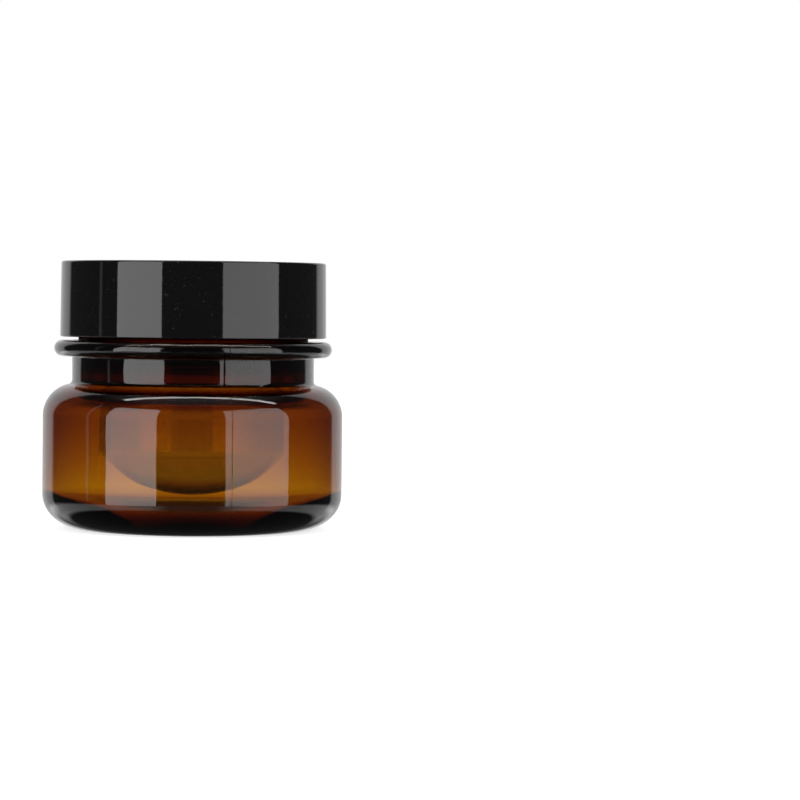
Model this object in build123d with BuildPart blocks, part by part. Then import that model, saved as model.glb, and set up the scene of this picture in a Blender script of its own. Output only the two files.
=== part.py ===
"""Double-wall cosmetic cream jar with a two-part screw cap. Millimetres, +Z up, base on Z = 0."""

import math
import os

from build123d import *

os.makedirs("parts", exist_ok=True)

# Outer jar body
jar_radius = 28.7
body_height = 27.8  # base to the top of the shoulder
heel_width = 8.1
heel_height = 6.65
shoulder_radius = 6.2
wall_low = 1.05
wall_high = 1.95
base_thickness = 2.2
recess_height = 1.4
standing_width = 2.2

# Neck, support ring and threaded finish
neck_inset = 5.55  # body wall to neck wall
neck_height = 5.2
neck_fillet = 0.9
ring_overhang = 3.4
ring_thickness = 3.05
finish_inset = 2.35  # neck wall to thread root
finish_height = 9.85
finish_wall = 2.9
rim_chamfer = 0.3
neck_flare = 2.4  # bore to the inner edge of the shoulder
bead_reach = 1.2
bead_height = 0.85

# Thread
thread_pitch = 4.23
thread_depth = 1.1
thread_root_width = 1.8
thread_crest_width = 0.9
thread_bite = 0.2  # thread root sunk into its wall
neck_thread_turns = 1.1
neck_thread_start = 2.85  # first turn above the support ring
cap_thread_turns = 1.0
cap_thread_drop = 2.0  # cap thread below the neck thread
radial_play = 0.2

# Inner cup
cup_clearance = 0.4
cup_wall = 0.9
cup_bottom_ease = 5.2  # radius of the domed bottom beyond the cup radius
cup_floor_gap = 3.2
cup_corner = 2.0
flange_thickness = 0.8
flange_reach = 0.4  # flange edge inside the thread root

# Sealing disc and pull tab
disc_thickness = 0.6
disc_depth = 1.8
disc_clearance = 0.25
tab_radius = 9.5
tab_width = 2.7
tab_thickness = 0.8
tab_lift = 0.05
lug_length = 1.2

# Cap
liner_thickness = 1.15
cap_plate = 1.25
skirt_wall = 1.1
rib_count = 36
rib_height = 0.7
rib_width = 0.9
shell_wall = 1.5
shell_top = 1.4
shell_draft = 0.15
shell_edge = 0.4
shell_gap = 0.65  # support ring to the cap edge
skirt_recess = 0.5  # inner skirt above the shell edge

# Radii that follow
neck_radius = jar_radius - neck_inset
ring_radius = neck_radius + ring_overhang
root_radius = neck_radius - finish_inset
crest_radius = root_radius + thread_depth
bore_radius = root_radius - finish_wall
cup_radius = bore_radius - cup_clearance
cup_bore = cup_radius - cup_wall
cup_bottom_radius = cup_radius + cup_bottom_ease
flange_radius = root_radius - flange_reach
dish_radius = cup_bore - disc_clearance
cap_bore = crest_radius + radial_play
skirt_radius = cap_bore + skirt_wall
rib_radius = skirt_radius + rib_height
shell_bore = rib_radius + 0.05
shell_radius = shell_bore + shell_wall
contact_radius = jar_radius - heel_width

# Heights that follow
shoulder_z = body_height - shoulder_radius
ring_z = body_height + neck_height
finish_z = ring_z + ring_thickness
rim_z = finish_z + finish_height
cup_floor_z = recess_height + base_thickness + cup_floor_gap
disc_z = rim_z + flange_thickness
liner_z = disc_z + disc_thickness
plate_z = liner_z + liner_thickness
shell_underside = plate_z + cap_plate
cap_top = shell_underside + shell_top
shell_z = finish_z + shell_gap
skirt_z = shell_z + skirt_recess
dish_floor = disc_z - disc_depth
tab_z = dish_floor + disc_thickness + tab_lift
hinge_z = tab_z + tab_thickness / 2
lug_gap = tab_thickness / 2 + 0.1

thread_z = finish_z + neck_thread_start
cap_thread_z = thread_z + thread_pitch / 2 - cap_thread_drop
cap_thread_depth = thread_depth - 0.05
sunk_width = thread_root_width + thread_bite * (thread_root_width - thread_crest_width) / thread_depth


# Neck thread, a right-hand trapezoid rib rooted just inside the finish
with BuildPart() as neck_thread:
    with BuildLine() as neck_helix:
        Helix(thread_pitch, thread_pitch * neck_thread_turns, root_radius, center=(0, 0, thread_z))
    with BuildSketch(Plane(origin=neck_helix.line @ 0, x_dir=(1, 0, 0), z_dir=neck_helix.line % 0)):
        with BuildLine():
            Polyline(
                (-thread_bite, -sunk_width / 2),
                (thread_depth, -thread_crest_width / 2),
                (thread_depth, thread_crest_width / 2),
                (-thread_bite, sunk_width / 2),
                close=True,
            )
        make_face()
    sweep(path=neck_helix.line, is_frenet=True)

# Cap thread, the same rib turned inward and set half a turn on, below the neck thread
with BuildPart() as cap_thread:
    with BuildLine() as cap_helix:
        Helix(thread_pitch, thread_pitch * cap_thread_turns, cap_bore, center=(0, 0, cap_thread_z))
    with BuildSketch(Plane(origin=cap_helix.line @ 0, x_dir=(1, 0, 0), z_dir=cap_helix.line % 0)):
        with BuildLine():
            Polyline(
                (thread_bite, -sunk_width / 2),
                (-cap_thread_depth, -thread_crest_width / 2),
                (-cap_thread_depth, thread_crest_width / 2),
                (thread_bite, sunk_width / 2),
                close=True,
            )
        make_face()
    sweep(path=cap_helix.line, is_frenet=True)

# Amber outer jar
with BuildPart() as outer_jar:
    with BuildSketch(Plane.XZ):
        with BuildLine():
            recess_edge = contact_radius - standing_width
            Bezier(
                (0, recess_height), (recess_edge * 0.5, recess_height),
                (recess_edge * 0.88, recess_height), (recess_edge, 0),
            )
            Line((recess_edge, 0), (contact_radius, 0))
            EllipticalCenterArc((contact_radius, heel_height), heel_width, heel_height, start_angle=270, arc_size=90)
            Line((jar_radius, heel_height), (jar_radius, shoulder_z))
            CenterArc((jar_radius - shoulder_radius, shoulder_z), shoulder_radius, 0, 90)
            Polyline((jar_radius - shoulder_radius, body_height), (0, body_height), (0, recess_height))
        make_face()
    revolve(axis=Axis.Z)
    with Locations((0, 0, shoulder_z)):
        Cylinder(neck_radius, ring_z + 0.5 - shoulder_z, align=(Align.CENTER, Align.CENTER, Align.MIN))
    fillet(
        outer_jar.edges().filter_by(GeomType.CIRCLE).filter_by(
            lambda e: abs(e.radius - neck_radius) < 0.01 and shoulder_z + 1 < e.center().Z < ring_z
        ),
        neck_fillet,
    )
    with BuildSketch(Plane.XZ):
        with BuildLine():
            round_radius = ring_thickness / 2
            Polyline(
                (0, finish_z), (ring_radius - round_radius, finish_z), (ring_radius - round_radius, ring_z),
                (0, ring_z), (0, finish_z),
            )
        make_face()
        with Locations((ring_radius - round_radius, ring_z + round_radius)):
            Circle(round_radius)
    revolve(axis=Axis.Z)
    with BuildSketch(Plane.XZ):
        with BuildLine():
            Polyline(
                (0, finish_z - 0.5), (root_radius + bead_reach, finish_z - 0.5),
                (root_radius + bead_reach, finish_z + bead_height - 0.25),
                (root_radius + bead_reach - 0.25, finish_z + bead_height),
                (root_radius, finish_z + bead_height), (root_radius, rim_z - rim_chamfer),
                (root_radius - rim_chamfer, rim_z), (0, rim_z),
                close=True,
            )
        make_face()
    revolve(axis=Axis.Z)
    add(neck_thread.part)
    with BuildSketch(Plane.XZ):
        with BuildLine():
            floor_z = recess_height + base_thickness
            high_radius = jar_radius - wall_high
            low_radius = jar_radius - wall_low
            toe_radius = contact_radius - 0.6
            toe_z = wall_low * 2.6
            flare_radius = bore_radius + neck_flare
            neck_foot = body_height + 0.2
            Bezier((0, floor_z), (toe_radius * 0.5, floor_z), (toe_radius * 0.8, toe_z), (toe_radius, toe_z))
            EllipticalCenterArc(
                (toe_radius, heel_height + 1.3), low_radius - toe_radius, heel_height + 1.3 - toe_z,
                start_angle=270, arc_size=90,
            )
            Line((low_radius, heel_height + 1.3), (high_radius, shoulder_z - 0.1))
            Bezier(
                (high_radius, shoulder_z - 0.1), (high_radius, shoulder_z + 3.2),
                (flare_radius + 1.3, neck_foot - 1.6), (flare_radius, neck_foot),
            )
            Bezier(
                (flare_radius, neck_foot), (flare_radius - 1.3, neck_foot + 1.6),
                (bore_radius + 0.3, ring_z - 1), (bore_radius, ring_z + 2),
            )
            Polyline(
                (bore_radius, ring_z + 2), (bore_radius, rim_z - rim_chamfer),
                (bore_radius + rim_chamfer, rim_z), (bore_radius + rim_chamfer, rim_z + 1), (0, rim_z + 1),
                (0, floor_z),
            )
        make_face()
    revolve(axis=Axis.Z, mode=Mode.SUBTRACT)
outer_jar.part.label = "outer_jar"

# Clear inner cup, hung on the rim by its flange
with BuildPart() as inner_cup:
    with BuildSketch(Plane.XZ):
        with BuildLine():
            cup_centre = cup_floor_z + cup_bottom_radius
            inner_bottom = cup_bottom_radius - cup_wall
            out_z = cup_centre - math.sqrt(cup_bottom_radius**2 - cup_radius**2)
            in_z = cup_centre - math.sqrt(inner_bottom**2 - cup_bore**2)
            out_turn = math.degrees(math.asin(cup_radius / cup_bottom_radius))
            in_turn = math.degrees(math.asin(cup_bore / inner_bottom))
            CenterArc((0, cup_centre), cup_bottom_radius, 270, out_turn)
            Polyline(
                (cup_radius, out_z), (cup_radius, rim_z), (flange_radius, rim_z), (flange_radius, disc_z),
                (cup_bore, disc_z), (cup_bore, in_z),
            )
            CenterArc((0, cup_centre), inner_bottom, 270, in_turn)
            Line((0, cup_floor_z + cup_wall), (0, cup_floor_z))
        make_face()
    revolve(axis=Axis.Z)
    fillet(
        inner_cup.edges().filter_by(GeomType.CIRCLE).filter_by(
            lambda e: abs(e.center().Z - out_z) < 0.01 and abs(e.radius - cup_radius) < 0.01
        ),
        cup_corner,
    )
    fillet(
        inner_cup.edges().filter_by(GeomType.CIRCLE).filter_by(
            lambda e: abs(e.center().Z - in_z) < 0.01 and abs(e.radius - cup_bore) < 0.01
        ),
        cup_corner - cup_wall * 0.8,
    )
    fillet(
        inner_cup.edges().filter_by(GeomType.CIRCLE).filter_by(
            lambda e: abs(e.center().Z - disc_z) < 0.01
        ),
        0.25,
    )
inner_cup.part.label = "inner_cup"

# Sealing disc: a flange on the cup, a shallow dish inside it and two hinge lugs for the tab
with BuildPart() as sealing_disc:
    with BuildSketch(Plane.XZ):
        with BuildLine():
            Polyline(
                (0, dish_floor), (dish_radius, dish_floor), (dish_radius, disc_z), (flange_radius, disc_z),
                (flange_radius, liner_z), (dish_radius - disc_thickness, liner_z),
                (dish_radius - disc_thickness, dish_floor + disc_thickness), (0, dish_floor + disc_thickness),
                close=True,
            )
        make_face()
    revolve(axis=Axis.Z)
    fillet(
        sealing_disc.edges().filter_by(GeomType.CIRCLE).filter_by(
            lambda e: abs(e.center().Z - dish_floor) < 0.01
        ),
        0.5,
    )
    fillet(
        sealing_disc.edges().filter_by(GeomType.CIRCLE).filter_by(
            lambda e: abs(e.center().Z - liner_z) < 0.01
        ),
        0.15,
    )
    lug_x = tab_radius - tab_width / 2
    with Locations(
        (lug_x, -lug_gap - lug_length / 2, dish_floor + disc_thickness),
        (-lug_x, -lug_gap - lug_length / 2, dish_floor + disc_thickness),
    ):
        Box(tab_width, lug_length, tab_thickness, align=(Align.CENTER, Align.CENTER, Align.MIN))
sealing_disc.part.label = "sealing_disc"

# Pull tab: a half ring with rounded hinge ends on the X axis line
with BuildPart() as pull_tab:
    with BuildSketch(Plane.XY.offset(tab_z)):
        Circle(tab_radius)
        Circle(tab_radius - tab_width, mode=Mode.SUBTRACT)
        with Locations((0, -tab_radius)):
            Rectangle(2 * tab_radius + 2, 2 * tab_radius, mode=Mode.SUBTRACT)
    extrude(amount=tab_thickness)
    with BuildSketch(Plane.YZ.offset(lug_x - tab_width / 2)):
        with Locations((0, hinge_z)):
            Circle(tab_thickness / 2)
    extrude(amount=tab_width)
    with BuildSketch(Plane.YZ.offset(-lug_x - tab_width / 2)):
        with Locations((0, hinge_z)):
            Circle(tab_thickness / 2)
    extrude(amount=tab_width)
pull_tab.part.label = "pull_tab"

# Foam liner
with BuildPart() as cap_liner:
    with Locations((0, 0, liner_z)):
        Cylinder(cap_bore - 0.45, liner_thickness, align=(Align.CENTER, Align.CENTER, Align.MIN))
cap_liner.part.label = "cap_liner"

# Threaded inner cap with torque ribs
with BuildPart() as cap_inner:
    with Locations((0, 0, skirt_z)):
        Cylinder(skirt_radius, shell_underside - skirt_z, align=(Align.CENTER, Align.CENTER, Align.MIN))
    with Locations((0, 0, skirt_z + 1.2)):
        with PolarLocations(skirt_radius + rib_height / 2 - 0.1, rib_count):
            Box(
                rib_height + 0.2, rib_width, shell_underside - skirt_z - 2.4,
                align=(Align.CENTER, Align.CENTER, Align.MIN),
            )
    with Locations((0, 0, skirt_z)):
        Cylinder(rib_radius, 0.9, align=(Align.CENTER, Align.CENTER, Align.MIN))
        Cylinder(cap_bore, plate_z - skirt_z, align=(Align.CENTER, Align.CENTER, Align.MIN), mode=Mode.SUBTRACT)
    chamfer(
        cap_inner.edges().filter_by(GeomType.CIRCLE).filter_by(
            lambda e: abs(e.center().Z - shell_underside) < 0.01 and e.radius > cap_bore
        ),
        0.5,
    )
    add(cap_thread.part.rotate(Axis.Z, 180))
cap_inner.part.label = "cap_inner"

# Glossy outer shell with a slight draft
with BuildPart() as cap_outer_shell:
    with BuildSketch(Plane.XZ):
        with BuildLine():
            Polyline(
                (0, shell_underside), (shell_bore, shell_underside), (shell_bore, shell_z),
                (shell_radius, shell_z), (shell_radius - shell_draft, cap_top), (0, cap_top),
                close=True,
            )
        make_face()
    revolve(axis=Axis.Z)
    fillet(
        cap_outer_shell.edges().filter_by(GeomType.CIRCLE).filter_by(
            lambda e: abs(e.center().Z - cap_top) < 0.01
        ),
        shell_edge,
    )
    fillet(
        cap_outer_shell.edges().filter_by(GeomType.CIRCLE).filter_by(
            lambda e: abs(e.center().Z - shell_z) < 0.01
        ),
        0.25,
    )
cap_outer_shell.part.label = "cap_outer_shell"

for piece in (outer_jar, inner_cup, sealing_disc, pull_tab, cap_liner, cap_inner, cap_outer_shell):
    export_step(piece.part, f"parts/{piece.part.label}.step")
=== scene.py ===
"""Double-wall cream jar: amber outer jar, clear cup, sealing disc with tab, foam liner and black cap."""

import math

import bmesh
import bpy
from mathutils import Matrix, Vector


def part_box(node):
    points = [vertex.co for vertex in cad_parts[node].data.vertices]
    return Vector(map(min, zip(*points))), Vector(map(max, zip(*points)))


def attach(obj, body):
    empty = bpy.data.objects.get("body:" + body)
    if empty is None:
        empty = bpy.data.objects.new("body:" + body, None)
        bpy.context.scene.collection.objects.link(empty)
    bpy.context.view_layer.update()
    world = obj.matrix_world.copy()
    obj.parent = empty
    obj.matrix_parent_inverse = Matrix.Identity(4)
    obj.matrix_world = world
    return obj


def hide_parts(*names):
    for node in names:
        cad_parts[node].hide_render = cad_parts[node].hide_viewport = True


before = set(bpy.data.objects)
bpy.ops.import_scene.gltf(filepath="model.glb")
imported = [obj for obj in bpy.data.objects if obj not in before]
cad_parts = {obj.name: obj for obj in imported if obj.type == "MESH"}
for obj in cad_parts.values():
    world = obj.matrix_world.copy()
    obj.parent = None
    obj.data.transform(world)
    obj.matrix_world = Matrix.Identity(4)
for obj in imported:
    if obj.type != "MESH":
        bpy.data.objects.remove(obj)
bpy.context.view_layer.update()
MM = 0.001


# ---------------------------------------------------------------- sizes, in millimetres, from the frame

def span(node):
    """(half width, lowest z, highest z) of a CAD node, in millimetres."""
    low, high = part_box(node)
    return (high[0] - low[0]) / 2 / MM, low[2] / MM, high[2] / MM


JAR_R, _, RIM_Z = span("outer_jar")
FLANGE_R, CUP_Z, CUP_TOP = span("inner_cup")
_, DISH_Z, LINER_Z = span("sealing_disc")
TAB_R, TAB_Z, TAB_TOP = span("pull_tab")
LINER_R, _, PLATE_Z = span("cap_liner")
RIB_R, SKIRT_Z, PLATE_TOP = span("cap_inner")
SHELL_R, SHELL_Z, CAP_TOP = span("cap_outer_shell")

NECK_STEP = 5.55
RING_REACH = 3.4
ROOT_STEP = 2.35
FINISH_WALL = 2.9
CUP_GAP = 0.4
CUP_WALL = 0.9
DISH_GAP = 0.25
NECK_R = JAR_R - NECK_STEP
RING_R = NECK_R + RING_REACH
ROOT_R = NECK_R - ROOT_STEP
BORE_R = ROOT_R - FINISH_WALL
CUP_R = BORE_R - CUP_GAP
CUP_BORE = CUP_R - CUP_WALL
DISH_R = CUP_BORE - DISH_GAP
SHOULDER_TOP = 27.8
SHOULDER_R = 6.2
RING_Z = 33.0
FINISH_Z = 36.05
HEEL_W, HEEL_H = 8.1, 6.65
SKIRT_GAP = 1.3
SKIRT_WALL = 1.1
SHELL_GAP = 0.05
SKIRT_BORE = ROOT_R + SKIRT_GAP
SKIRT_R = SKIRT_BORE + SKIRT_WALL
SHELL_BORE = RIB_R + SHELL_GAP
TAB_HALF = 1.35

THREAD_PITCH = 4.23
THREAD_DEPTH = 1.1
THREAD_HALF = 0.95
THREAD_FLANK = 0.5
THREAD_FADE = 0.05
THREAD_RISE = 2.85
THREAD_Z = FINISH_Z + THREAD_RISE
THREAD_TURNS = 1.1
CAP_THREAD_DROP = 2.0
CAP_THREAD_SHARE = 0.955
CAP_THREAD_Z = THREAD_Z + THREAD_PITCH / 2 - CAP_THREAD_DROP

SEAM_ANGLE = math.radians(-75.2)
SEAM_REACH = 0.13
SEAM_HEIGHT = 0.05
SEAM_HALF = SEAM_REACH / JAR_R
# Upright streaks where the wall is thinner: bearing and half width in degrees, depth in millimetres
FLOW_LINES = (
    (-42.0, 0.8, 0.03),
    (-38.8, 0.9, 0.035),
    (-5.4, 0.8, 0.025),
    (2.0, 0.8, 0.03),
    (5.8, 0.7, 0.02),
)
FLOW_LOW, FLOW_HIGH = 8.0, 24.0


# ---------------------------------------------------------------- outlines, as (radius, height) points

def arc(centre_r, centre_z, width, height, start, end, steps=12):
    """Points of an elliptical arc, angles in degrees."""
    turn = [math.radians(start + (end - start) * i / steps) for i in range(steps + 1)]
    return [(centre_r + width * math.cos(a), centre_z + height * math.sin(a)) for a in turn]


def curve(a, b, c, d, steps=16):
    """Points of a cubic Bezier curve."""
    out = []
    for i in range(steps + 1):
        t = i / steps
        k = ((1 - t) ** 3, 3 * t * (1 - t) ** 2, 3 * t * t * (1 - t), t ** 3)
        out.append(tuple(sum(w * p[j] for w, p in zip(k, (a, b, c, d))) for j in (0, 1)))
    return out


def line(a, b, steps=1):
    """Points of a straight run."""
    return [tuple(a[j] + (b[j] - a[j]) * i / steps for j in (0, 1)) for i in range(steps + 1)]


def joined(*runs):
    """One outline from runs that follow each other, without repeated points."""
    out = []
    for run in runs:
        for p in run:
            if not out or math.dist(out[-1], p) > 1e-4:
                out.append(p)
    return out


def thread(angle, z, start_z, turns, start_angle=0.0):
    """Height of a thread rib at that angle and height, with ends that fade out."""
    t = ((angle - start_angle) / math.tau) % 1.0
    height = 0.0
    while t <= turns:
        off = abs(z - start_z - THREAD_PITCH * t)
        slope = min(1.0, max(0.0, (THREAD_HALF - off) / THREAD_FLANK))
        fade = min(1.0, min(t, turns - t) / THREAD_FADE)
        height = max(height, slope * slope * (3 - 2 * slope) * math.sqrt(max(0.0, fade)))
        t += 1.0
    return height * THREAD_DEPTH


def lathe(name, outline, columns, bump=None):
    """A closed turned mesh from an outline that starts and ends on the axis.

    bump(r, z, angle) gives an extra radius.
    """
    bm = bmesh.new()
    rows = []
    for r, z in outline:
        if r < 1e-6:
            rows.append([bm.verts.new((0, 0, z * MM))])
            continue
        row = []
        for a in columns:
            rr = r + (bump(r, z, a) if bump else 0.0)
            row.append(bm.verts.new((rr * math.cos(a) * MM, rr * math.sin(a) * MM, z * MM)))
        rows.append(row)
    n = len(columns)
    for low, high in zip(rows, rows[1:]):
        for i in range(n):
            j = (i + 1) % n
            if len(low) == 1:
                bm.faces.new((low[0], high[j], high[i]))
            elif len(high) == 1:
                bm.faces.new((low[i], low[j], high[0]))
            else:
                bm.faces.new((low[i], low[j], high[j], high[i]))
    bmesh.ops.recalc_face_normals(bm, faces=bm.faces)
    mesh = bpy.data.meshes.new(name)
    bm.to_mesh(mesh)
    bm.free()
    mesh.shade_smooth()
    obj = bpy.data.objects.new(name, mesh)
    bpy.context.scene.collection.objects.link(obj)
    return obj


def ring_angles(count, seams=()):
    """Even angles round the axis, with close columns at each seam.

    A seam is (angle, half width), in radians.
    """
    angles = [math.tau * i / count for i in range(count)]
    for seam, half in seams:
        seam %= math.tau
        angles = [a for a in angles if abs((a - seam + math.pi) % math.tau - math.pi) > half * 1.6]
        angles += [(seam + half * k) % math.tau for k in (-1.4, -1, -0.5, 0, 0.5, 1, 1.4)]
    return sorted(angles)


# ---------------------------------------------------------------- shader helpers

class Value:
    """A shader socket that takes part in Python sums."""

    def __init__(self, shop, socket):
        self.shop, self.socket = shop, socket

    def _maths(self, operation, a, b):
        return self.shop.node("ShaderNodeMath", {"operation": operation}, {0: a, 1: b})

    def __add__(self, other):
        return self._maths("ADD", self, other)

    def __radd__(self, other):
        return self._maths("ADD", other, self)

    def __sub__(self, other):
        return self._maths("SUBTRACT", self, other)

    def __rsub__(self, other):
        return self._maths("SUBTRACT", other, self)

    def __mul__(self, other):
        return self._maths("MULTIPLY", self, other)

    def __rmul__(self, other):
        return self._maths("MULTIPLY", other, self)

    def __lt__(self, other):
        return self._maths("LESS_THAN", self, other)

    def __gt__(self, other):
        return self._maths("GREATER_THAN", self, other)


class Shop:
    """The node tree of one material or world."""

    def __init__(self, tree):
        self.tree = tree
        tree.nodes.clear()

    def node(self, kind, settings=None, inputs=None, output=0):
        """Adds a node, applies its settings, then its socket values or links."""
        made = self.tree.nodes.new(kind)
        for key, value in (settings or {}).items():
            if key == "stops":
                ramp = made.color_ramp.elements
                while len(ramp) < len(value):
                    ramp.new(0.5)
                for element, (place, shade) in zip(ramp, value):
                    element.position, element.color = place, shade
            else:
                setattr(made, key, value)
        for key, value in (inputs or {}).items():
            if isinstance(value, Value):
                self.tree.links.new(value.socket, made.inputs[key])
            else:
                made.inputs[key].default_value = value
        return Value(self, made.outputs[output])

    def part(self, kind, name):
        """A named output of an input node, such as the object coordinates."""
        return self.node(kind, output=name)

    def noise(self, scale, detail=3.0, rough=0.5):
        """Noise in the object's own coordinates, in metres."""
        place = self.part("ShaderNodeTexCoord", "Object")
        inputs = {"Vector": place, "Scale": scale, "Detail": detail, "Roughness": rough}
        return self.node("ShaderNodeTexNoise", {}, inputs)

    def spread(self, value, low, high, to_low, to_high):
        """Maps a value's range to another, clamped."""
        inputs = {"Value": value, "From Min": low, "From Max": high, "To Min": to_low, "To Max": to_high}
        return self.node("ShaderNodeMapRange", {}, inputs)

    def bump(self, height, strength, distance):
        """A normal from a height."""
        inputs = {"Height": height, "Strength": strength, "Distance": distance}
        return self.node("ShaderNodeBump", {}, inputs)


def material(name):
    made = bpy.data.materials.new(name)
    made.use_nodes = True
    return made, Shop(made.node_tree)


def finish_material(shop, surface, volume=None):
    out = {"Surface": surface}
    if volume:
        out["Volume"] = volume
    end = shop.tree.nodes.new("ShaderNodeOutputMaterial")
    for key, value in out.items():
        shop.tree.links.new(value.socket, end.inputs[key])


def amber_plastic():
    """Transparent amber polyester: dark where it is thick, orange where it is thin."""
    made, shop = material("amber_polyester")
    ripple = shop.noise(160.0, 2.0)
    surface = shop.node("ShaderNodeBsdfPrincipled", {}, {
        "Base Color": (1.0, 1.0, 1.0, 1), "Roughness": 0.0, "IOR": 1.5, "Transmission Weight": 1.0,
        "Normal": shop.bump(ripple, 0.04, 0.0004),
    })
    volume = shop.node("ShaderNodeVolumeAbsorption", {}, {
        "Color": (0.861, 0.733, 0.03, 1), "Density": 3300.0,
    })
    finish_material(shop, surface, volume)
    return made


def clear_plastic():
    """Clear cup plastic with a faint grey tint, and painted shade: its colour greys towards the bottom
    of the dome.
    """
    made, shop = material("clear_cup_plastic")
    ripple = shop.noise(120.0, 2.0)
    place = shop.tree.nodes.new("ShaderNodeSeparateXYZ")
    shop.tree.links.new(shop.part("ShaderNodeTexCoord", "Object").socket, place.inputs[0])
    # Painted shade: the base colour is 0.76 grey at 7 mm and below and turns white by 16.5 mm, standing
    # in for the darkness seen at the dome's bottom.
    dome_shade = shop.spread(Value(shop, place.outputs[2]), 0.0070, 0.0165, 0.0, 1.0)
    tone = shop.node("ShaderNodeValToRGB", {"stops": [
        (0.0, (0.76, 0.74, 0.72, 1)), (1.0, (1.0, 1.0, 1.0, 1)),
    ]}, {"Fac": dome_shade})
    surface = shop.node("ShaderNodeBsdfPrincipled", {}, {
        "Base Color": tone, "Roughness": 0.0, "IOR": 1.5, "Transmission Weight": 1.0,
        "Normal": shop.bump(ripple, 0.03, 0.0004),
    })
    volume = shop.node("ShaderNodeVolumeAbsorption", {}, {
        "Color": (0.15, 0.15, 0.15, 1), "Density": 170.0,
    })
    finish_material(shop, surface, volume)
    return made


def gloss_black():
    """Polished black cap plastic with specks of dust and very fine wear."""
    made, shop = material("gloss_black")
    cloud = shop.noise(300.0, 5.0, 0.6)
    specks = shop.spread(shop.noise(2600.0, 1.0), 0.72, 0.78, 0.0, 1.0)
    tone = shop.node("ShaderNodeValToRGB", {"stops": [
        (0.0, (0.0035, 0.0035, 0.0036, 1)), (1.0, (0.03, 0.03, 0.03, 1)),
    ]}, {"Fac": specks})
    surface = shop.node("ShaderNodeBsdfPrincipled", {}, {
        "Base Color": tone, "IOR": 1.5,
        "Roughness": shop.spread(cloud, 0.3, 0.7, 0.03, 0.06) + specks * 0.25,
        "Normal": shop.bump(cloud, 0.05, 0.0001),
    })
    finish_material(shop, surface)
    return made


def moulded_black():
    """Satin black polypropylene of the threaded inner cap."""
    made, shop = material("moulded_black")
    grain = shop.noise(1800.0, 3.0)
    surface = shop.node("ShaderNodeBsdfPrincipled", {}, {
        "Base Color": (0.008, 0.008, 0.0085, 1), "IOR": 1.49,
        "Roughness": shop.spread(grain, 0.3, 0.7, 0.28, 0.42),
        "Normal": shop.bump(grain, 0.15, 0.0001),
    })
    finish_material(shop, surface)
    return made


def soft_white():
    """Waxy white polyethylene of the sealing disc and its tab."""
    made, shop = material("soft_white")
    grain = shop.noise(900.0, 4.0)
    cloud = shop.noise(70.0, 2.0)
    tone = shop.node("ShaderNodeValToRGB", {"stops": [
        (0.35, (0.70, 0.70, 0.68, 1)), (0.65, (0.76, 0.76, 0.745, 1)),
    ]}, {"Fac": cloud})
    surface = shop.node("ShaderNodeBsdfPrincipled", {}, {
        "Base Color": tone, "IOR": 1.51, "Subsurface Weight": 0.35, "Subsurface Scale": 0.0012,
        "Subsurface Radius": (1.0, 0.95, 0.85),
        "Roughness": shop.spread(grain, 0.3, 0.7, 0.32, 0.46),
        "Normal": shop.bump(grain, 0.12, 0.0001),
    })
    finish_material(shop, surface)
    return made


def white_foam():
    """Closed-cell foam with a fine skin of cells."""
    made, shop = material("white_foam")
    place = shop.part("ShaderNodeTexCoord", "Object")
    cells = shop.node("ShaderNodeTexVoronoi", {}, {"Vector": place, "Scale": 3200.0}, output="Distance")
    cloud = shop.noise(220.0, 3.0)
    tone = shop.node("ShaderNodeValToRGB", {"stops": [
        (0.3, (0.78, 0.78, 0.77, 1)), (0.7, (0.86, 0.86, 0.855, 1)),
    ]}, {"Fac": cloud})
    surface = shop.node("ShaderNodeBsdfPrincipled", {}, {
        "Base Color": tone, "IOR": 1.4,
        "Roughness": shop.spread(cloud, 0.3, 0.7, 0.6, 0.75),
        "Normal": shop.bump(cells, 0.35, 0.0001),
    })
    finish_material(shop, surface)
    return made


# ---------------------------------------------------------------- pieces

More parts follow.
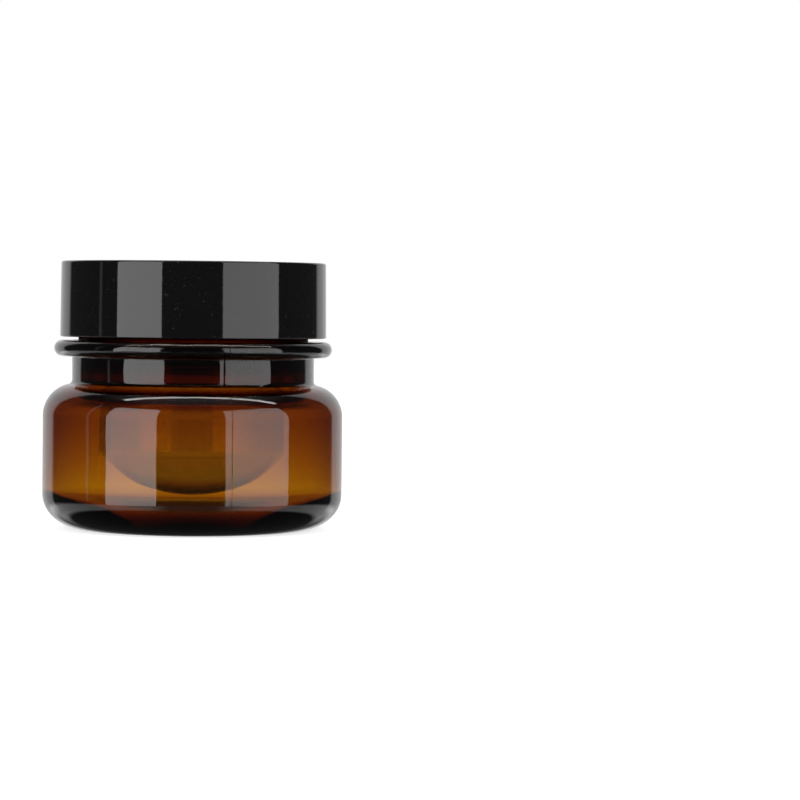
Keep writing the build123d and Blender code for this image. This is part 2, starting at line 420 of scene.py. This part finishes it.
def outer_jar_outline():
    """The outside from the underside of the base up to the rim, then the bore down to the floor."""
    contact = JAR_R - HEEL_W
    ring_width, gate_z = 2.2, 1.4
    recess = contact - ring_width
    shoulder_r, shoulder_z = JAR_R - SHOULDER_R, SHOULDER_TOP - SHOULDER_R
    fillet = 0.9
    fillet_r = NECK_R + fillet
    reach = SHOULDER_R + fillet
    fillet_z = shoulder_z + math.sqrt(reach ** 2 - (fillet_r - shoulder_r) ** 2)
    meet = math.degrees(math.atan2(fillet_z - shoulder_z, fillet_r - shoulder_r))
    half = (FINISH_Z - RING_Z) / 2
    wall_low, wall_high = JAR_R - 1.05, JAR_R - 1.95
    toe_r, toe_z, floor_z = contact - 0.6, 2.73, 3.6
    flare_r, foot = BORE_R + 1.8, SHOULDER_TOP + 0.6
    bead_r, bead_z = ROOT_R + 1.2, FINISH_Z + 0.85
    rim_round, small_round = 0.3, 0.25
    gate = [(0.0, 1.15), (0.9, 1.15), (1.15, 1.25), (1.35, gate_z)]
    return joined(
        gate,
        curve((1.4, gate_z), (recess * 0.5, gate_z), (recess * 0.88, gate_z), (recess, 0), 14),
        line((recess, 0), (contact, 0), 2),
        arc(contact, HEEL_H, HEEL_W, HEEL_H, -90, 0, 32),
        line((JAR_R, HEEL_H), (JAR_R, shoulder_z), 6),
        arc(shoulder_r, shoulder_z, SHOULDER_R, SHOULDER_R, 0, meet, 30),
        arc(fillet_r, fillet_z, fillet, fillet, meet - 180, -180, 12),
        line((NECK_R, fillet_z), (NECK_R, RING_Z - small_round), 3),
        arc(NECK_R + small_round, RING_Z - small_round, small_round, small_round, 180, 90, 4),
        line((NECK_R + small_round, RING_Z), (RING_R - half, RING_Z), 1),
        arc(RING_R - half, RING_Z + half, half, half, -90, 90, 20),
        line((RING_R - half, FINISH_Z), (bead_r, FINISH_Z), 2),
        arc(bead_r - small_round, bead_z - small_round, small_round, small_round, 0, 90, 4),
        line((ROOT_R + 0.02, bead_z), (ROOT_R, bead_z + 0.05), 1),
        line((ROOT_R, bead_z + 0.05), (ROOT_R, RIM_Z - rim_round), 80),
        arc(ROOT_R - rim_round, RIM_Z - rim_round, rim_round, rim_round, 0, 90, 4),
        line((ROOT_R - rim_round, RIM_Z), (BORE_R + rim_round, RIM_Z), 1),
        arc(BORE_R + rim_round, RIM_Z - rim_round, rim_round, rim_round, 90, 180, 4),
        line((BORE_R, RIM_Z - rim_round), (BORE_R, RING_Z + 2), 3),
        curve(
            (BORE_R, RING_Z + 2), (BORE_R + 1.3, RING_Z - 1),
            (flare_r - 0.1, foot + 2.0), (flare_r, foot), 24,
        ),
        curve(
            (flare_r, foot), (flare_r + 0.8, foot - 2.0),
            (wall_high, shoulder_z + 4.0), (wall_high, shoulder_z + 0.6), 28,
        ),
        line((wall_high, shoulder_z + 0.6), (wall_low, HEEL_H + 1.3), 6),
        arc(toe_r, HEEL_H + 1.3, wall_low - toe_r, HEEL_H + 1.3 - toe_z, 0, -90, 26),
        curve((toe_r, toe_z), (toe_r * 0.8, toe_z), (toe_r * 0.5, floor_z), (0, floor_z), 16),
    )


def outer_jar_bump(r, z, angle):
    """Extra radius: the thread on the finish, the two mould seams outside and the streaks inside."""
    extra = 0.0
    if z > FINISH_Z + 0.25 and abs(r - ROOT_R) < 0.01:
        extra += thread(angle, z, THREAD_Z, THREAD_TURNS)
    outside = z < FINISH_Z and r > NECK_R - 0.05
    if z > 3.0 and outside and r > outer_limit(z) - 0.02:
        for seam in (SEAM_ANGLE, SEAM_ANGLE + math.pi):
            off = abs((angle - seam + math.pi) % math.tau - math.pi) * r
            extra += SEAM_HEIGHT * max(0.0, 1 - off / SEAM_REACH)
    if FLOW_LOW < z < FLOW_HIGH and JAR_R - 2.2 < r < JAR_R - 0.9:
        for bearing, half, depth in FLOW_LINES:
            off = abs(math.degrees(angle) - 270 - bearing)
            swell = math.cos(min(1.0, off / half) * math.pi / 2) ** 2
            extra += depth * swell * min(1.0, (z - FLOW_LOW) / 1.5, (FLOW_HIGH - z) / 3.0)
    return extra


def outer_limit(z):
    """Radius of the jar's outside at a height up to the support ring."""
    if z < HEEL_H:
        return JAR_R - HEEL_W + HEEL_W * math.sqrt(max(0.0, 1 - ((HEEL_H - z) / HEEL_H) ** 2))
    shoulder_z = SHOULDER_TOP - SHOULDER_R
    if z < shoulder_z:
        return JAR_R
    if z < SHOULDER_TOP:
        return JAR_R - SHOULDER_R + math.sqrt(max(0.0, SHOULDER_R ** 2 - (z - shoulder_z) ** 2))
    return NECK_R


def make_outer_jar():
    seams = [(SEAM_ANGLE, SEAM_HALF), (SEAM_ANGLE + math.pi, SEAM_HALF)]
    seams += [(math.radians(270 + bearing), math.radians(half)) for bearing, half, _ in FLOW_LINES]
    columns = ring_angles(288, seams)
    obj = lathe("amber_jar", outer_jar_outline(), columns, outer_jar_bump)
    obj.data.materials.append(amber_plastic())
    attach(obj, "jar")
    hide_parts("outer_jar")


def make_inner_cup():
    base, big, small = 0.9, 22.7, 21.8
    corner, inner_corner = 2.0, 1.3
    lip, soft = 0.2, 0.25

    def bowl(centre, radius, wall, round_r, steps):
        """Domed bottom, its round corner and the start of the wall."""
        mid_r = wall - round_r
        mid_z = centre - math.sqrt((radius - round_r) ** 2 - mid_r ** 2)
        turn = math.degrees(math.atan2(mid_z - centre, mid_r))
        return joined(
            arc(0, centre, radius, radius, -90, turn, steps),
            arc(mid_r, mid_z, round_r, round_r, turn, 0, 12),
        )

    outside = bowl(CUP_Z + big, big, CUP_R, corner, 30)
    inside = bowl(CUP_Z + base + small, small, CUP_BORE, inner_corner, 30)[::-1]
    outline = joined(
        outside,
        line(outside[-1], (CUP_R, RIM_Z - 0.02), 8),
        arc(FLANGE_R - lip, RIM_Z + lip, lip, lip, -90, 0, 4),
        arc(FLANGE_R - soft, CUP_TOP - soft, soft, soft, 0, 90, 4),
        arc(CUP_BORE + soft, CUP_TOP - soft, soft, soft, 90, 180, 4),
        line((CUP_BORE, CUP_TOP - soft), inside[0], 8),
        inside,
    )
    obj = lathe("clear_cup", outline, ring_angles(256))
    obj.data.materials.append(clear_plastic())
    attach(obj, "jar")
    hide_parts("inner_cup")


def make_shell():
    edge, foot, draft = 0.4, 0.25, 0.15
    top_r = SHELL_R - draft
    slant = math.degrees(math.atan2(draft, CAP_TOP - SHELL_Z))
    outline = joined(
        [(0, CAP_TOP)],
        line((0, CAP_TOP), (top_r - edge, CAP_TOP), 8)[1:],
        arc(top_r - edge, CAP_TOP - edge, edge, edge, 90, slant, 10),
        line((top_r, CAP_TOP - edge), (SHELL_R, SHELL_Z + foot), 4),
        arc(SHELL_R - foot, SHELL_Z + foot, foot, foot, 0, -90, 6),
        arc(SHELL_BORE + foot, SHELL_Z + foot, foot, foot, 270, 180, 6),
        line((SHELL_BORE, SHELL_Z + foot), (SHELL_BORE, PLATE_TOP), 3),
        [(0, PLATE_TOP)],
    )
    obj = lathe("cap_shell", outline, ring_angles(256))
    obj.data.materials.append(gloss_black())
    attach(obj, "cap")
    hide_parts("cap_outer_shell")


def rib_tree(stuff):
    """Geometry Nodes: upright ribs set round a circle."""
    tree = bpy.data.node_groups.new("torque_ribs", "GeometryNodeTree")
    face = tree.interface
    face.new_socket("Count", in_out="INPUT", socket_type="NodeSocketInt").default_value = 36
    for name in ("Radius", "Depth", "Width", "Length", "Middle"):
        face.new_socket(name, in_out="INPUT", socket_type="NodeSocketFloat").default_value = 0.0
    face.new_socket("Geometry", in_out="OUTPUT", socket_type="NodeSocketGeometry")
    new, link = tree.nodes.new, tree.links.new
    given, out = new("NodeGroupInput"), new("NodeGroupOutput")
    circle = new("GeometryNodeMeshCircle")
    link(given.outputs["Count"], circle.inputs["Vertices"])
    link(given.outputs["Radius"], circle.inputs["Radius"])
    raise_it = new("GeometryNodeTransform")
    lift = new("ShaderNodeCombineXYZ")
    link(given.outputs["Middle"], lift.inputs["Z"])
    link(circle.outputs["Mesh"], raise_it.inputs["Geometry"])
    link(lift.outputs["Vector"], raise_it.inputs["Translation"])
    size = new("ShaderNodeCombineXYZ")
    link(given.outputs["Depth"], size.inputs["X"])
    link(given.outputs["Width"], size.inputs["Y"])
    link(given.outputs["Length"], size.inputs["Z"])
    block = new("GeometryNodeMeshCube")
    block.inputs["Vertices X"].default_value = 2
    link(size.outputs["Vector"], block.inputs["Size"])
    place = new("GeometryNodeInputPosition")
    flat = new("ShaderNodeVectorMath")
    flat.operation = "MULTIPLY"
    flat.inputs[1].default_value = (1, 1, 0)
    link(place.outputs["Position"], flat.inputs[0])
    aim = new("FunctionNodeAlignRotationToVector")
    aim.axis = "X"
    aim.pivot_axis = "Z"
    link(flat.outputs["Vector"], aim.inputs["Vector"])
    spread = new("GeometryNodeInstanceOnPoints")
    link(raise_it.outputs["Geometry"], spread.inputs["Points"])
    link(block.outputs["Mesh"], spread.inputs["Instance"])
    link(aim.outputs["Rotation"], spread.inputs["Rotation"])
    real = new("GeometryNodeRealizeInstances")
    paint = new("GeometryNodeSetMaterial")
    paint.inputs["Material"].default_value = stuff
    link(spread.outputs["Instances"], real.inputs["Geometry"])
    link(real.outputs["Geometry"], paint.inputs["Geometry"])
    link(paint.outputs["Geometry"], out.inputs["Geometry"])
    return tree


def grow(name, tree, **sizes):
    """A plain mesh object from a Geometry Nodes tree and its named sizes."""
    seed = bpy.data.objects.new(name, bpy.data.meshes.new(name))
    bpy.context.scene.collection.objects.link(seed)
    modifier = seed.modifiers.new("grow", "NODES")
    modifier.node_group = tree
    for item in tree.interface.items_tree:
        if item.item_type == "SOCKET" and item.in_out == "INPUT" and item.name in sizes:
            modifier[item.identifier] = sizes[item.name]
    graph = bpy.context.evaluated_depsgraph_get()
    mesh = bpy.data.meshes.new_from_object(seed.evaluated_get(graph))
    seed.modifiers.clear()
    seed.data = mesh
    return seed


def make_inner_cap():
    stuff = moulded_black()
    corner, foot, inner_corner = 0.5, 0.3, 0.2
    outline = joined(
        [(0, PLATE_TOP)],
        line((0, PLATE_TOP), (SKIRT_R - corner, PLATE_TOP), 4)[1:],
        arc(SKIRT_R - corner, PLATE_TOP - corner, corner, corner, 90, 0, 6),
        line((SKIRT_R, PLATE_TOP - corner), (SKIRT_R, SKIRT_Z + 0.9), 2),
        line((RIB_R - 0.1, SKIRT_Z + 0.9), (RIB_R, SKIRT_Z + 0.8), 1),
        line((RIB_R, SKIRT_Z + 0.8), (RIB_R, SKIRT_Z + 0.1), 1),
        line((RIB_R - 0.1, SKIRT_Z), (SKIRT_BORE + foot, SKIRT_Z), 2),
        arc(SKIRT_BORE + foot, SKIRT_Z + foot, foot, foot, 270, 180, 4),
        line((SKIRT_BORE, SKIRT_Z + foot), (SKIRT_BORE, PLATE_Z - inner_corner), 96),
        arc(SKIRT_BORE - inner_corner, PLATE_Z - inner_corner, inner_corner, inner_corner, 0, 90, 3),
        [(0, PLATE_Z)],
    )

    def bump(r, z, angle):
        if abs(r - SKIRT_BORE) < 0.01 and z > SKIRT_Z + 0.25:
            return -CAP_THREAD_SHARE * thread(angle, z, CAP_THREAD_Z, 1.0, math.pi)
        return 0.0

    obj = lathe("threaded_cap", outline, ring_angles(240), bump)
    obj.data.materials.append(stuff)
    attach(obj, "cap")
    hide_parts("cap_inner")
    low, high = SKIRT_Z + 1.2, PLATE_TOP - 1.2
    rib_depth, rib_width = 0.8, 0.9
    ribs = grow(
        "cap_ribs", rib_tree(stuff), Count=36, Radius=(RIB_R - rib_depth / 2) * MM,
        Depth=rib_depth * MM, Width=rib_width * MM,
        Length=(high - low) * MM, Middle=(high + low) / 2 * MM,
    )
    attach(ribs, "cap")


def make_liner():
    gap, soft = 0.02, 0.25
    low, high = LINER_Z + gap, PLATE_Z - gap
    outline = joined(
        [(0, low)],
        line((0, low), (LINER_R - soft, low), 10)[1:],
        arc(LINER_R - soft, low + soft, soft, soft, -90, 0, 6),
        arc(LINER_R - soft, high - soft, soft, soft, 0, 90, 6),
        line((LINER_R - soft, high), (0, high), 10),
    )
    obj = lathe("foam_liner", outline, ring_angles(192))
    obj.data.materials.append(white_foam())
    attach(obj, "liner")
    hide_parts("cap_liner")


def box_with_round_edges(bm, low, high, edge):
    """Adds a bevelled block between two corners, in millimetres."""
    made = bmesh.ops.create_cube(bm, size=1.0)["verts"]
    size = Vector(high) - Vector(low)
    middle = (Vector(high) + Vector(low)) / 2
    for v in made:
        v.co = Vector([v.co[i] * size[i] + middle[i] for i in range(3)]) * MM
    edges = {e for v in made for e in v.link_edges}
    bmesh.ops.bevel(bm, geom=list(edges), offset=edge * MM, segments=3, affect="EDGES", profile=0.5)


def make_disc(stuff):
    """Shallow dish with a flange, a low ring on its floor and two lugs for the tab."""
    wall, corner, inner_corner, lip = 0.6, 0.5, 0.3, 0.15
    ring_r, ring_half, ring_rise = 13.0, 0.2, 0.12
    floor_top = DISH_Z + wall
    floor_r = DISH_R - wall - inner_corner
    outline = joined(
        [(0, DISH_Z)],
        line((0, DISH_Z), (DISH_R - corner, DISH_Z), 6)[1:],
        arc(DISH_R - corner, DISH_Z + corner, corner, corner, -90, 0, 6),
        line((DISH_R, DISH_Z + corner), (DISH_R, CUP_TOP), 2),
        line((DISH_R, CUP_TOP), (FLANGE_R, CUP_TOP), 3),
        arc(FLANGE_R - lip, LINER_Z - lip, lip, lip, 0, 90, 4),
        arc(DISH_R - wall + lip, LINER_Z - lip, lip, lip, 90, 180, 4),
        arc(floor_r, floor_top + inner_corner, inner_corner, inner_corner, 0, -90, 5),
        line((floor_r, floor_top), (ring_r + ring_half, floor_top), 2),
        arc(ring_r, floor_top, ring_half, ring_rise, 0, 180, 6),
        line((ring_r - ring_half, floor_top), (0, floor_top), 6),
    )
    obj = lathe("seal_disc", outline, ring_angles(192))
    bm = bmesh.new()
    bm.from_mesh(obj.data)
    lug_back, lug_front, lug_sunk, lug_rise = -1.7, -0.5, 0.1, 0.8
    for side in (-1, 1):
        x = side * (TAB_R - TAB_HALF)
        low = (x - TAB_HALF, lug_back, floor_top - lug_sunk)
        high = (x + TAB_HALF, lug_front, floor_top + lug_rise)
        box_with_round_edges(bm, low, high, 0.12)
    bm.to_mesh(obj.data)
    bm.free()
    obj.data.shade_smooth()
    obj.data.materials.append(stuff)
    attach(obj, "jar")
    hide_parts("sealing_disc")


def make_tab(stuff):
    """Half-ring handle of round-edged flat section, swept from one hinge end to the other."""
    half_w, half_t, soft = TAB_HALF, (TAB_TOP - TAB_Z) / 2, 0.25
    middle = TAB_R - half_w
    hinge = (TAB_Z + TAB_TOP) / 2
    section = []
    for right, up, start in ((1, 1, 0), (-1, 1, 90), (-1, -1, 180), (1, -1, 270)):
        centre = (right * (half_w - soft), up * (half_t - soft))
        section += arc(*centre, soft, soft, start, start + 90, 3)
    bm = bmesh.new()
    rings = []
    # The ends reach back past the hinge and taper: how far back, and the share of the full thickness
    tuck = [(0.4, 0.35), (0.28, 0.75), (0.0, 1.0)]
    steps = 72
    stations = [(0.0, -back, squash) for back, squash in tuck]
    stations += [(math.pi * i / steps, 0.0, 1.0) for i in range(1, steps)]
    stations += [(math.pi, -back, squash) for back, squash in reversed(tuck)]
    for angle, back, squash in stations:
        c, s = math.cos(angle), math.sin(angle)
        row = []
        for off, up in section:
            r = middle + off
            row.append(bm.verts.new((r * c * MM, (r * s + back) * MM, (hinge + up * squash) * MM)))
        rings.append(row)
    n = len(section)
    for a, b in zip(rings, rings[1:]):
        for i in range(n):
            bm.faces.new((a[i], a[(i + 1) % n], b[(i + 1) % n], b[i]))
    bm.faces.new(rings[0])
    bm.faces.new(rings[-1])
    bmesh.ops.recalc_face_normals(bm, faces=bm.faces)
    mesh = bpy.data.meshes.new("tab_handle")
    bm.to_mesh(mesh)
    bm.free()
    mesh.shade_smooth()
    obj = bpy.data.objects.new("tab_handle", mesh)
    bpy.context.scene.collection.objects.link(obj)
    obj.data.materials.append(stuff)
    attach(obj, "tab")
    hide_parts("pull_tab")


# ---------------------------------------------------------------- studio

def make_camera():
    """A long lens a little above the jar, panned so that the jar stands left of the middle."""
    distance, height = 0.5805, 0.04385
    side, above, lean = -0.06829, 0.0331, 0.0103
    x = side * math.cos(lean) - above * math.sin(lean)
    y = side * math.sin(lean) + above * math.cos(lean)
    tilt = math.atan(y)
    pan = math.atan(-x * math.cos(tilt))
    ahead = Vector((math.sin(pan) * math.cos(tilt), math.cos(pan) * math.cos(tilt), -math.sin(tilt)))
    right = Vector((math.cos(pan), -math.sin(pan), 0))
    up = right.cross(ahead)
    turn = Matrix((right, up, -ahead)).transposed().to_4x4()
    data = bpy.data.cameras.new("camera")
    data.sensor_width = 36.0
    data.lens = 135.81
    data.clip_start = 0.01
    cam = bpy.data.objects.new("camera", data)
    cam.matrix_world = Matrix.Translation((0, -distance, height)) @ turn @ Matrix.Rotation(lean, 4, "Z")
    bpy.context.scene.collection.objects.link(cam)
    bpy.context.scene.camera = cam


def softbox(name, bearing, elevation, distance, width, height, level, aim):
    """A rectangular lamp. Bearing is in degrees to the right of the viewer's side, seen from the jar."""
    b, e = math.radians(bearing), math.radians(elevation)
    away = Vector((math.sin(b) * math.cos(e), -math.cos(b) * math.cos(e), math.sin(e)))
    data = bpy.data.lights.new(name, "AREA")
    data.shape = "RECTANGLE"
    data.size, data.size_y = width, height
    data.energy = level * width * height * math.pi
    obj = bpy.data.objects.new(name, data)
    obj.location = Vector(aim) + away * distance
    obj.rotation_mode = "QUATERNION"
    obj.rotation_quaternion = away.to_track_quat("Z", "Y")
    obj.visible_camera = False
    bpy.context.scene.collection.objects.link(obj)


def make_lights():
    """Tall softboxes each side of the camera, a faint strip at the left and a lamp nearly overhead."""
    reach = 0.8

    def upright(name, left_edge, right_edge, low, high, level):
        """A tall box between two bearings, standing square to the middle bearing."""
        middle = (left_edge + right_edge) / 2
        width = 2 * reach * math.tan(math.radians((right_edge - left_edge) / 2))
        bottom, top = (reach * math.tan(math.radians(edge)) for edge in (low, high))
        aim = (0, 0, (top + bottom) / 2)
        softbox(name, middle, 0, reach, width, top - bottom, level, aim)

    upright("left_box", -68, -27, -14, 38, 3.05)
    upright("right_box", 24.5, 77, -14, 38, 2.25)
    upright("edge_strip", -87.5, -84.5, -5, 38, 0.35)
    softbox("top_box", 0, 87, reach, 1.3, 0.08, 8.0, aim=(0.12, 0, 0.025))


def make_world():
    """White to the camera and through the plastic; a dim room with a bright back wall and table
    to reflections; a level grey to the matt surfaces."""
    world = bpy.data.worlds.new("studio")
    bpy.context.scene.world = world
    world.use_nodes = True
    shop = Shop(world.node_tree)
    ray = shop.tree.nodes.new("ShaderNodeLightPath")
    direction = shop.part("ShaderNodeTexCoord", "Generated")
    split = shop.tree.nodes.new("ShaderNodeSeparateXYZ")
    shop.tree.links.new(direction.socket, split.inputs[0])
    x, y, z = (Value(shop, split.outputs[k]) for k in range(3))
    flat = shop.node("ShaderNodeMath", {"operation": "SQRT"}, {0: x * x + y * y})
    behind = shop.node("ShaderNodeMath", {"operation": "DIVIDE"}, {0: y, 1: flat + 0.0001})
    upper = shop.spread(z, -0.40, -0.30, 0.0, 1.0) * shop.spread(z, 0.85, 0.95, 1.0, 0.0)
    back_wall = shop.spread(behind, 0.67, 0.73, 0.0, 1.0) * upper
    across = shop.node("ShaderNodeMath", {"operation": "ABSOLUTE"}, {0: x})
    sides = shop.spread(across, 0.30, 0.50, 0.12, 0.9)
    table = shop.spread(z, -0.55, -0.48, 0.0, 1.0) * shop.spread(z, -0.28, -0.20, 1.0, 0.0) * sides
    room = 0.05 + 0.25 * shop.spread(z, 0.75, 0.95, 0.0, 1.0)
    studio = room + back_wall * 0.75 + table
    glossy_depth = Value(shop, ray.outputs["Glossy Depth"])
    camera = Value(shop, ray.outputs["Is Camera Ray"])
    through = Value(shop, ray.outputs["Is Transmission Ray"]) * (glossy_depth < 0.5)
    diffuse = Value(shop, ray.outputs["Is Diffuse Ray"])
    seen = shop.node("ShaderNodeMath", {"operation": "MINIMUM"}, {0: camera + through, 1: 1.0})
    plain = (1 - seen) * (1 - diffuse)
    strength = seen + plain * studio + (1 - seen) * diffuse * 0.45
    shade = shop.node("ShaderNodeBackground", {}, {"Color": (1, 1, 1, 1), "Strength": strength})
    end = shop.tree.nodes.new("ShaderNodeOutputWorld")
    shop.tree.links.new(shade.socket, end.inputs["Surface"])


def make_floor():
    """A wide disc, white from above; seen through the plastic it glows white with a painted shadow, a
    dark oval under the jar.
    """
    bm = bmesh.new()
    bmesh.ops.create_circle(bm, cap_ends=True, segments=96, radius=1.5)
    mesh = bpy.data.meshes.new("floor")
    bm.to_mesh(mesh)
    bm.free()
    floor = bpy.data.objects.new("floor", mesh)
    bpy.context.scene.collection.objects.link(floor)
    made, shop = material("pale_floor")
    ray = shop.tree.nodes.new("ShaderNodeLightPath")
    place = shop.part("ShaderNodeTexCoord", "Object")
    squeeze = (1.5, 0.95, 1.0)
    oval = shop.node("ShaderNodeVectorMath", {"operation": "MULTIPLY"}, {0: place, 1: squeeze})
    reach = shop.node("ShaderNodeVectorMath", {"operation": "LENGTH"}, {0: oval}, output="Value")
    # Painted shadow: the glow seen through the plastic drops to 0.02 in an oval under the jar.
    clear = shop.spread(reach, 0.0205, 0.0285, 0.02, 1.0)
    seen = Value(shop, ray.outputs["Is Camera Ray"])
    matte = shop.node("ShaderNodeBsdfDiffuse", {}, {"Color": (0.8, 0.8, 0.8, 1)})
    glow = shop.node("ShaderNodeEmission", {}, {"Color": (1, 1, 1, 1), "Strength": seen * 0.75})
    lit = shop.node("ShaderNodeAddShader", {}, {0: matte, 1: glow})
    backdrop_with_painted_shadow = shop.node("ShaderNodeEmission", {}, {"Color": (1, 1, 1, 1), "Strength": clear})
    through = Value(shop, ray.outputs["Is Transmission Ray"])
    both = shop.node("ShaderNodeMixShader", {}, {0: through, 1: lit, 2: backdrop_with_painted_shadow})
    finish_material(shop, both)
    mesh.materials.append(made)
    floor.visible_glossy = False


make_outer_jar()
make_inner_cup()
white = soft_white()
make_disc(white)
make_tab(white)
make_liner()
make_inner_cap()
make_shell()
make_camera()
make_lights()
make_world()
make_floor()
bpy.context.scene.view_settings.view_transform = "Standard"
